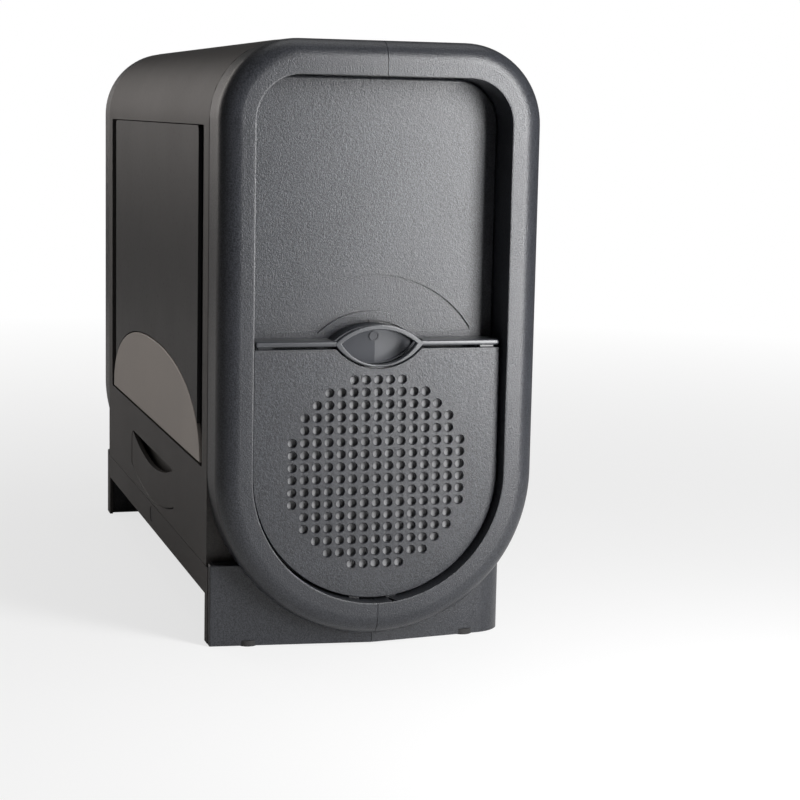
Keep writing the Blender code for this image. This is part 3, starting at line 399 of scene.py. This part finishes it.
def make_floor():
    """A pale floor that keeps the shadow near the object and turns white towards its far edge."""
    bm = bmesh.new()
    bmesh.ops.create_grid(bm, x_segments=1, y_segments=1, size=FLOOR_HALF)
    mesh = bpy.data.meshes.new("floor")
    bm.to_mesh(mesh)
    bm.free()
    floor = bpy.data.objects.new("floor", mesh)
    scene.collection.objects.link(floor)
    paint = Paint("pale_floor", Base_Color=(0.86, 0.86, 0.86, 1), Roughness=0.9)
    to_camera = paint.node("LightPath")
    away = paint.node("VectorMath", {"operation": "LENGTH"}, {0: paint.place}, output=1)
    whiteness = paint.ramp(0.5 * away, (0.15, 0.72), (0.8, 1.0))
    glow = paint.node("Emission", {}, {"Color": (1, 1, 1, 1), "Strength": 1.0})
    plain = Wire(paint, paint.shader.outputs[0])
    shown = paint.node("MixShader", {}, {0: whiteness * to_camera, 1: plain, 2: glow})
    paint.feed(paint.material.node_tree.nodes["Material Output"].inputs["Surface"], shown)
    mesh.materials.append(paint.material)


def softbox(name, place, aim, size, power, tint=(1, 1, 1)):
    """A rectangle of light at a place, turned to what it aims at, which the camera doesn't see."""
    lamp = bpy.data.lights.new(name, "AREA")
    lamp.shape = "RECTANGLE"
    lamp.size, lamp.size_y = size
    lamp.energy = power
    lamp.color = tint
    lit = bpy.data.objects.new(name, lamp)
    lit.visible_camera = False
    scene.collection.objects.link(lit)
    turn = (Vector(aim) - Vector(place)).to_track_quat("-Z", "Y").to_matrix().to_4x4()
    lit.matrix_world = Matrix.Translation(place) @ turn


def make_world(level):
    """An even grey world, which the camera sees as white."""
    world = bpy.data.worlds.new("studio")
    world.use_nodes = True
    scene.world = world
    tree = world.node_tree
    back = tree.nodes["Background"]
    back.inputs["Color"].default_value = (level, level, level, 1)
    white = tree.nodes.new("ShaderNodeBackground")
    rays = tree.nodes.new("ShaderNodeLightPath")
    mix = tree.nodes.new("ShaderNodeMixShader")
    tree.links.new(rays.outputs["Is Camera Ray"], mix.inputs[0])
    tree.links.new(back.outputs[0], mix.inputs[1])
    tree.links.new(white.outputs[0], mix.inputs[2])
    tree.links.new(mix.outputs[0], tree.nodes["World Output"].inputs["Surface"])
    white.inputs["Color"].default_value = (1, 1, 1, 1)


scene.view_settings.view_transform = "Standard"
make_floor()
make_world(WORLD_LEVEL)
softbox("key", (0.98, 0.46, 0.56), (0.20, 0, 0.22), (0.45, 0.40), 1.0)
softbox("strip", (0.62, 0.256, 0.34), (0.20, 0.07, 0.25), (0.15, 0.60), 5.6)
softbox("fill", (-1.4, -0.9, 0.7), (0, 0, 0.15), (1.0, 1.0), 5.0, (1.0, 0.94, 0.90))
softbox("overhead", (-0.3, 0.2, 1.8), (0, 0, 0), (1.2, 1.2), 4)
print("floor, world and four softboxes")

# %% [markdown]
# ## The solids that keep their shape
# Most pieces have the right shape already. Each gets a copy with its triangles merged into faces
# and its own finish, and nearly all get their hard edges rounded a little, as every moulded or
# turned piece has them.

# %% Dress the plain pieces
REMADE = {
    "filter_door", "door_latch", "finger_cup", "filter_pad", "right_end_panel",
    "right_frame_front", "right_frame_rear", "left_frame_front", "left_frame_rear",
}
UNROUNDED = {"front_housing", "rear_housing", "impeller", "base_skirt"}
SOFT = {
    "carry_handle": 2.0, "motor_can": 1.5, "cord_gland": 1.0,
    "dust_bin": 0.8, "bin_latch": 0.7, "silver_band": 0.5,
}
EDGE = 0.25
# These pieces take the grey with painted warm light.
PAINTED_WARM_NODES = {"front_housing", "base_skirt", "bin_latch"}
PALE = {"filter_frame"}

for node in sorted(set(NODES) - REMADE):
    bm = merged(node)
    if node not in UNROUNDED:
        round_edges(bm, SOFT.get(node, EDGE) * MM, segments=3 if node in SOFT else 2)
    own = FRONT_GREY_PAINTED_WARM if node in PAINTED_WARM_NODES else FINISH["filter_felt"] if node in PALE else None
    as_piece(node + "_dressed", bm, node, own)
print(len(NODES) - len(REMADE), "pieces dressed")

# %% [markdown]
# ## The filter door
# The door is a D of sheet plastic with a grid of round holes. Each hole has a small countersink,
# which catches the light as a bright crescent. The holes are cut in one Boolean, by cutters that
# flare at their front end, because a bevel over 192 edges would leave no room between the holes.

# %% Measure the door and set up flat outlines
door_low, door_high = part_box("filter_door")
DOOR_X = door_high.x
DOOR_TOP = door_high.z
DOOR_HALF = door_high.y
SHEET = 2.5 * MM
ARC_Z = 99 * MM
HOLE_PITCH = 7 * MM
HOLE_RADIUS = 2.5 * MM
GRILLE_RADIUS = 54.5 * MM
GRILLE_Z = 100 * MM


def flat_outline(points, x):
    """A face in the plane across X through points (y, z)."""
    bm = bmesh.new()
    bm.faces.new([bm.verts.new((x, y, z)) for y, z in points])
    return bm


def arc(centre, radius, start, end, steps):
    """Points (y, z) on an arc, both ends included."""
    turns = (start + (end - start) * i / steps for i in range(steps + 1))
    return [(centre[0] + radius * math.cos(a), centre[1] + radius * math.sin(a)) for a in turns]


def circle(centre, radius, steps):
    """Points (y, z) round a circle."""
    return arc(centre, radius, 0, 2 * math.pi * (steps - 1) / steps, steps - 1)


def verts_of(parts):
    return [part for part in parts if isinstance(part, bmesh.types.BMVert)]


def drawn_out(bm, way):
    """Extrudes the only face by a vector into a closed solid."""
    moved = bmesh.ops.extrude_face_region(bm, geom=bm.faces[:])["geom"]
    bmesh.ops.translate(bm, verts=verts_of(moved), vec=way)
    return outward(bm)


def slab(points, start, end):
    """A plate across X with an outline (y, z)."""
    return drawn_out(flat_outline(points, start), (end - start, 0, 0))


def block(low, high):
    """A box between two corners."""
    bm = bmesh.new()
    size = [b - a for a, b in zip(low, high)]
    middle = [(a + b) / 2 for a, b in zip(low, high)]
    place = Matrix.Translation(middle) @ Matrix.Diagonal((*size, 1))
    bmesh.ops.create_cube(bm, size=1, matrix=place)
    return bm


def combine(target, other, operation="DIFFERENCE"):
    """Applies a Boolean with a second mesh to the first, both as bmeshes."""
    pair = []
    for bm in (target, other):
        mesh = bpy.data.meshes.new("working")
        bm.to_mesh(mesh)
        bm.free()
        pair.append(bpy.data.objects.new("working", mesh))
        scene.collection.objects.link(pair[-1])
    modifier = pair[0].modifiers.new("combine", "BOOLEAN")
    modifier.operation = operation
    modifier.object = pair[1]
    bpy.context.view_layer.update()
    result = bmesh.new()
    result.from_object(pair[0], bpy.context.evaluated_depsgraph_get())
    for worker in pair:
        bpy.data.meshes.remove(worker.data)
    return result


# %% Outline of the finger pull
EYE_Z = 172.95 * MM
EYE = (25.9 * MM, 10.6 * MM, 13.3 * MM)
EYE_STEPS = 28
EYE_GAP = 0.9 * MM


def eye_points(half, rise, drop):
    """A pointed oval in (y, z) round the finger pull's middle, between an upper and a lower arc."""
    over = (half * half + rise * rise) / (2 * rise)
    under = (half * half + drop * drop) / (2 * drop)
    wide, deep = math.asin(half / over), math.asin(half / under)
    top, bottom = (0, EYE_Z + rise - over), (0, EYE_Z - drop + under)
    upper = arc(top, over, math.pi / 2 - wide, math.pi / 2 + wide, EYE_STEPS)
    lower = arc(bottom, under, 1.5 * math.pi - deep, 1.5 * math.pi + deep, EYE_STEPS)
    return upper + lower[1:-1]


def eye(grow):
    """The finger pull's outline, larger all round."""
    half, rise, drop = EYE
    return eye_points(half + 1.3 * grow, rise + grow, drop + grow)


# %% Make the door
FLARE = 0.3 * MM
HOLE_SIDES = 16
DOOR_ROUND = 0.5 * MM


def hole_cutters():
    """A flared cutter for each hole of the grid within the grille's circle."""
    bm = bmesh.new()
    steps = int(GRILLE_RADIUS / HOLE_PITCH) + 1
    start = -2 * SHEET
    profile = ((start, HOLE_RADIUS), (-FLARE, HOLE_RADIUS), (FLARE, HOLE_RADIUS + 2 * FLARE))
    grid = [
        (column * HOLE_PITCH, (row + 0.5) * HOLE_PITCH)
        for row in range(-steps, steps) for column in range(-steps, steps + 1)
    ]
    spots = [(y, GRILLE_Z + z) for y, z in grid if math.hypot(y, z) <= GRILLE_RADIUS]
    for y, z in spots:
        place = Matrix.Translation((DOOR_X + start, y, z)) @ Matrix.Rotation(math.pi / 2, 4, "Y")
        made = bmesh.ops.create_circle(
            bm, cap_ends=True, segments=HOLE_SIDES, radius=HOLE_RADIUS, matrix=place
        )
        cap = face = made["verts"][0].link_faces[0]
        for (x0, r0), (x1, r1) in zip(profile, profile[1:]):
            moved = bmesh.ops.extrude_face_region(bm, geom=[face])["geom"]
            verts = verts_of(moved)
            if face is not cap:
                bmesh.ops.delete(bm, geom=[face], context="FACES_ONLY")
            face = next(part for part in moved if isinstance(part, bmesh.types.BMFace))
            bmesh.ops.translate(bm, verts=verts, vec=(x1 - x0, 0, 0))
            wider, middle = (1, r1 / r0, r1 / r0), Matrix.Translation((0, -y, -z))
            bmesh.ops.scale(bm, verts=verts, vec=wider, space=middle)
    print(len(spots), "holes")
    return outward(bm)


def make_door():
    outline = arc((0, ARC_Z), DOOR_HALF, math.pi, 2 * math.pi, 72)
    outline += [(DOOR_HALF, DOOR_TOP), (-DOOR_HALF, DOOR_TOP)]
    notch = slab(eye(EYE_GAP), DOOR_X - 2 * SHEET, DOOR_X + SHEET)
    door = combine(slab(outline, DOOR_X - SHEET, DOOR_X), notch)
    round_edges(door, DOOR_ROUND, 40, 3)
    as_piece("filter_door_fine", combine(door, hole_cutters()), "filter_door", flat_ends=True)


make_door()

# %% [markdown]
# ## The filter behind the holes
# The felt lies close behind the holes, so each shows a light spot that its right edge shades. Its
# folds are pressed nearly flat: a grid is bent into low waves, its corners are cut to the tray's
# eight sides, and the sheet is drawn back into a solid pad.

# %% Fold the filter
PLEAT = 5.2 * MM
PLEAT_DEPTH = 0.3 * MM
PAD_BACK = 0.4 * MM
CORNER_CUT = 1.552


def make_filter():
    low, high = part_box("filter_pad")
    half = high.y
    bm = bmesh.new()
    face_on = Matrix.Translation((high.x, 0, GRILLE_Z)) @ Matrix.Rotation(math.pi / 2, 4, "Y")
    bmesh.ops.create_grid(bm, x_segments=2, y_segments=160, size=half, matrix=face_on)
    for vert in bm.verts:
        wave = 0.5 - 0.5 * math.cos(2 * math.pi * vert.co.y / PLEAT)
        vert.co.x -= PAD_BACK + PLEAT_DEPTH * wave
    corner = CORNER_CUT * half
    for side in (-1, 1):
        for end in (-1, 1):
            away = Vector((0, side, end)).normalized()
            at = Vector((0, 0, GRILLE_Z)) + away * corner / math.sqrt(2)
            every = bm.verts[:] + bm.edges[:] + bm.faces[:]
            bmesh.ops.bisect_plane(bm, geom=every, plane_co=at, plane_no=away, clear_outer=True)
    moved = bmesh.ops.extrude_face_region(bm, geom=bm.faces[:])["geom"]
    for vert in verts_of(moved):
        vert.co.x = low.x
    deep = round((high.x - low.x) / MM, 1)
    print("filter", deep, "mm deep,", int(2 * half / PLEAT), "pleats")
    as_piece("filter_pad_pleated", outward(bm), "filter_pad")


make_filter()

# %% [markdown]
# ## The latch's rail and finger ring
# A rail runs over the door and widens into a pointed ring for a fingertip. Its upper arc is a
# broad rounded band, and its lower one a thin lip. Plates that are joined and cut give the
# outline, and bevels on the front edges of the ring and the rail catch the light.

# %% Make the latch
latch_low, latch_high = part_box("door_latch")
RAIL = (171.4 * MM, 174.5 * MM)
RING_X = 210.0 * MM
BAND_WIDE = 2.8 * MM
BAND_THIN = 1.4 * MM
RING_ROUND = 0.65 * MM
RAIL_ROUND = 1.2 * MM
RAIL_BACK = 0.2 * MM
RING_LAP = 0.4 * MM
RING_ROOM = 1.6 * MM
RING_SEAT = 0.5 * MM
LEG_Y = (60.5 * MM, 68.5 * MM)
LEG_X = (206.2 * MM, 209.2 * MM)


def make_latch():
    front = latch_high.x
    opening = eye_points(EYE[0] - 1.5 * BAND_WIDE, EYE[1] - BAND_WIDE, EYE[2] - BAND_THIN)
    ring = combine(slab(eye(0), RING_X, front), slab(opening, RING_X - MM, front + MM))
    round_front(ring, front, RING_ROUND, 4)
    rail = block(
        (latch_low.x, latch_low.y, RAIL[0]), (front - RAIL_BACK, latch_high.y, RAIL[1])
    )
    round_edges(rail, RAIL_ROUND, 40, 5)
    rail = combine(rail, slab(eye(-RING_LAP), latch_low.x - MM, front + MM))
    rail = combine(rail, slab(eye(RING_ROOM), latch_low.x - MM, RING_X + RING_SEAT))
    latch = combine(rail, ring, "UNION")
    for side in (-1, 1):
        y = sorted((side * LEG_Y[0], side * LEG_Y[1]))
        leg = block((LEG_X[0], y[0], latch_low.z), (LEG_X[1], y[1], RAIL[0] + MM))
        latch = combine(latch, leg, "UNION")
    wide = round(2 * EYE[0] / MM, 1)
    print("latch", round(2 * latch_high.y / MM, 1), "mm long, with a ring of", wide, "mm")
    as_piece("door_latch_fine", latch, "door_latch", TRIM, flat_ends=True)


make_latch()

# %% [markdown]
# ## The cup behind the ring
# Behind the ring lies a cup whose floor is two flat facets. They meet at an upright ridge with a
# small step, so one half is darker than the other, and a round ejector mark from the mould stands
# at the ridge's upper end.

# %% Make the cup
CUP_BACK_X = 190 * MM
CUP_CUT_X = (189.6 * MM, 205 * MM)
CUP_WALL = 1.6 * MM
CUP_PLAY = 1 * MM
CUP_EDGE = 26 * MM
CUP_BELOW = 15 * MM
CUP_ABOVE = 13 * MM
CUP_SIDE_X = 200.6 * MM
CUP_RIDGE_X = 202.9 * MM
RIDGE_STEP = 0.4 * MM
DISH = (22.8 * MM, 8.4 * MM, 11.7 * MM)
DISH_X = 192 * MM
MARK = (-0.4 * MM, 176.2 * MM)
MARK_RING = (2.9 * MM, 0.35 * MM)
MARK_DIMPLE = (2.1 * MM, 0.7 * MM)


def facet(side, ridge_x):
    """Half of the cup's floor: a wedge that rises to the ridge, cut to the cup's outline."""
    edge = side * CUP_EDGE
    bm = bmesh.new()
    bottom, top = EYE_Z - CUP_BELOW, EYE_Z + CUP_ABOVE
    corners = [(ridge_x, 0), (CUP_SIDE_X, edge), (CUP_BACK_X, edge), (CUP_BACK_X, 0)]
    bm.faces.new([bm.verts.new((x, y, bottom)) for x, y in corners])
    wedge = drawn_out(bm, (0, 0, top - bottom))
    return combine(wedge, slab(eye(-CUP_WALL), *CUP_CUT_X), "INTERSECT")


def disc(size, start):
    """A disc at the ejector mark, from a depth to its own rise over the ridge."""
    radius, rise = size
    return slab(circle(MARK, radius, 32), start, CUP_RIDGE_X + rise)


def make_cup():
    low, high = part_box("finger_cup")
    dish = slab(eye_points(*DISH), DISH_X, high.x + MM)
    cup = combine(slab(eye(-CUP_PLAY), low.x, high.x), dish)
    cup = combine(cup, facet(-1, CUP_RIDGE_X), "UNION")
    cup = combine(cup, facet(1, CUP_RIDGE_X - RIDGE_STEP), "UNION")
    cup = combine(cup, disc(MARK_RING, CUP_RIDGE_X - MM), "UNION")
    cup = combine(cup, disc(MARK_DIMPLE, CUP_RIDGE_X - 0.05 * MM))
    print("cup", round((high.x - low.x) / MM, 1), "mm deep")
    # The cup takes the lighter grey with painted light in its hollow.
    as_piece("finger_cup_fine", cup, "finger_cup", CUP_GREY_PAINTED_LIGHT, flat_ends=True)


make_cup()

# %% [markdown]
# ## The panel over the door
# The panel closes the recess above the door. Its border is rolled over, and a shallow crescent is
# sunk into it over the finger pull, with a fine line cut along each of its two arcs.

# %% Make the panel
ARCH_OUTER = ((2.2 * MM, 142.55 * MM), 67.2 * MM)
ARCH_INNER = ((-0.6 * MM, 146.45 * MM), 42.9 * MM)
ARCH_FOOT = 177.95 * MM
ARCH_DEPTH = 0.6 * MM
LINE = 0.7 * MM
LINE_DEPTH = 1.2 * MM
LINE_STEPS = 60
LINES = ((ARCH_OUTER, 0.185, 0.66), (ARCH_INNER, 0.75, 0.42))
PANEL_CORNER = 25.2 * MM
PANEL_ROUND = 1.6 * MM


def crescent():
    """The sunken field over the finger pull, between two arcs."""
    loop = []
    for (centre, radius), way in ((ARCH_OUTER, 1), (ARCH_INNER, -1)):
        start = math.asin((ARCH_FOOT - centre[1]) / radius)
        loop += arc(centre, radius, start, math.pi - start, LINE_STEPS)[::way]
    return loop


def groove(centre, radius, start, end):
    """A fine line cut beside an arc of the crescent, narrower towards its end."""
    outer = arc(centre, radius, start, end, LINE_STEPS)
    inner = []
    for i in range(LINE_STEPS + 1):
        turn = start + (end - start) * i / LINE_STEPS
        reach = radius + LINE * (1 - i / LINE_STEPS)
        inner.append((centre[0] + reach * math.cos(turn), centre[1] + reach * math.sin(turn)))
    return outer[:-1] + inner[::-1]


def make_panel():
    low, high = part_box("right_end_panel")
    side, top = high.y - PANEL_CORNER, high.z - PANEL_CORNER
    outline = [(low.y, low.z), (high.y, low.z)]
    outline += arc((side, top), PANEL_CORNER, 0, math.pi / 2, 20)
    outline += arc((-side, top), PANEL_CORNER, math.pi / 2, math.pi, 20)
    panel = slab(outline, low.x, high.x)
    round_front(panel, high.x, PANEL_ROUND, 4)
    panel = combine(panel, slab(eye(EYE_GAP), low.x - MM, high.x + MM))
    panel = combine(panel, slab(crescent(), high.x - ARCH_DEPTH, high.x + MM))
    for (centre, radius), start, end in LINES:
        line = groove(centre, radius, start * math.pi, end * math.pi)
        panel = combine(panel, slab(line, high.x - LINE_DEPTH, high.x + MM))
    print("panel", round((high.x - low.x) / MM, 1), "mm thick")
    as_piece("right_end_panel_fine", panel, "right_end_panel", flat_ends=True)


make_panel()

# %% [markdown]
# ## The end frames
# Each end of the body is a broad rounded rim round a recess, with a foot under it, and a seam
# down the middle where the two mouldings meet. The rim is drawn as a flat outline, pulled out to
# a plate and given one wide bevel. The recess, the sloped lip along its edge, the foot and the
# seam come from Booleans. Both ends are the same but for the hinge lugs, the filter's port and
# the cord's hole.

# %% Make the end frames
BODY_X = 188 * MM
CROWN_X = 220 * MM
RECESS_X = 189 * MM
HALF_DEPTH = 92.5 * MM
HEIGHT = 340 * MM
RIM = 19.5 * MM
LIP = 0.9 * MM
LIP_DROP = 0.24 * MM
TOP_RADIUS = 45 * MM
SEAM = 0.15 * MM
RIM_ROUND = 12 * MM
WALL_X = 185 * MM
WALL_INSET = 3.5 * MM
FLUSH = 0.2 * MM
FOOT_TOP = 47 * MM
FOOT_BOTTOM = 0.3 * MM
FOOT_X = 207.5 * MM
FOOT_SLANT = 9.3 * MM
FOOT_CORNER = 20 * MM
FOOT_IN = (28 * MM, 28.5 * MM)
FOOT_TURN = math.radians(7)
FOOT_ROUND = 1.2 * MM
SKIRT_FACE = 2.4 * MM - HALF_DEPTH
SKIRT_X = 192 * MM
SKIRT_TOP = 44.5 * MM
END_WALL = (180 * MM, 192 * MM)
LUG_Y = (8 * MM, 14 * MM)
LUG_X = (186 * MM, 208.5 * MM)
LUG_Z = (24.5 * MM, 34 * MM)
PORT = [(54, 28), (28, 54), (-28, 54), (-54, 28), (-54, -28), (-28, -54), (28, -54), (54, -28)]
GLAND = (46 * MM, 62 * MM)
GLAND_HOLE = 8.3 * MM


def racetrack(inset):
    """The end frame's outline in (y, z), smaller all round by inset."""
    half, top, radius = HALF_DEPTH - inset, HEIGHT - inset, TOP_RADIUS - inset
    loop = arc((0, ARC_Z), half, math.pi, 2 * math.pi, 80)
    loop += arc((half - radius, top - radius), radius, 0, math.pi / 2, 20)
    return loop + arc((radius - half, top - radius), radius, math.pi / 2, math.pi, 20)


def foot():
    """The foot's plan in (x, y), with a shallow point at the seam, drawn up from the floor."""
    start, front = BODY_X + SEAM, FLUSH - HALF_DEPTH
    centre = (FOOT_X - FOOT_IN[0], HALF_DEPTH - FOOT_IN[1])
    last = math.acos((start - centre[0]) / FOOT_CORNER)
    plan = [(start, SKIRT_FACE), (SKIRT_X, SKIRT_FACE), (SKIRT_X, front)]
    plan += [(FOOT_X - FOOT_SLANT, front), (FOOT_X, 0)]
    plan += arc(centre, FOOT_CORNER, FOOT_TURN, last, 16)
    bm = bmesh.new()
    bm.faces.new([bm.verts.new((x, y, FOOT_BOTTOM)) for x, y in plan])
    made = drawn_out(bm, (0, 0, FOOT_TOP - FOOT_BOTTOM))
    return round_edges(made, FOOT_ROUND, 30, 3, MM)


def lip_cutter():
    """A shallow funnel that slopes the inner edge of the rim, to catch a thin line of light."""
    bm = bmesh.new()
    rings = []
    for x, inset in ((CROWN_X - LIP_DROP, RIM + 0.02 * MM), (CROWN_X + LIP_DROP, RIM - 2 * LIP)):
        rings.append([bm.verts.new((x, y, z)) for y, z in racetrack(inset)])
    bm.faces.new(rings[0])
    bm.faces.new(rings[1])
    for i in range(len(rings[0])):
        bm.faces.new((rings[0][i - 1], rings[0][i], rings[1][i], rings[1][i - 1]))
    return outward(bm)


def make_frame():
    """A right end, whole: rim, wall towards the body, foot and recess, with room for the skirt."""
    end = slab(racetrack(FLUSH), BODY_X + SEAM, CROWN_X)
    round_front(end, CROWN_X, RIM_ROUND, 12)
    end = combine(end, slab(racetrack(WALL_INSET), WALL_X, RECESS_X), "UNION")
    end = combine(end, foot(), "UNION")
    end = combine(end, slab(racetrack(RIM), RECESS_X, CROWN_X + MM))
    end = combine(end, lip_cutter())
    skirt_room = block((-SKIRT_X, -0.1, -0.01), (SKIRT_X, SKIRT_FACE, SKIRT_TOP))
    return combine(end, skirt_room)


def make_half(whole, side, name, node):
    """One moulding of an end, on one side of the seam."""
    reach = 0.5
    low, high = sorted((side * SEAM, side * reach))
    half = combine(whole.copy(), block((-reach, low, -reach), (reach, high, reach)), "INTERSECT")
    as_piece(name, half, node, flat_ends=True)


def make_ends():
    right_end = make_frame()
    left_end = right_end.copy()
    bmesh.ops.scale(left_end, vec=(-1, 1, 1), verts=left_end.verts)
    bmesh.ops.reverse_faces(left_end, faces=left_end.faces)
    for side in (-1, 1):
        y = sorted((side * LUG_Y[0], side * LUG_Y[1]))
        lug = block((LUG_X[0], y[0], LUG_Z[0]), (LUG_X[1], y[1], LUG_Z[1]))
        right_end = combine(right_end, lug, "UNION")
    port = [(y * MM, GRILLE_Z + z * MM) for y, z in PORT]
    right_end = combine(right_end, slab(port, *END_WALL))
    hole = slab(circle(GLAND, GLAND_HOLE, 48), -END_WALL[1], -END_WALL[0])
    left_end = combine(left_end, hole)
    for end, name in ((right_end, "right_frame"), (left_end, "left_frame")):
        make_half(end, -1, name + "_front_fine", name + "_front")
        make_half(end, 1, name + "_rear_fine", name + "_rear")
        end.free()
    print("two ends of two mouldings each")


make_ends()
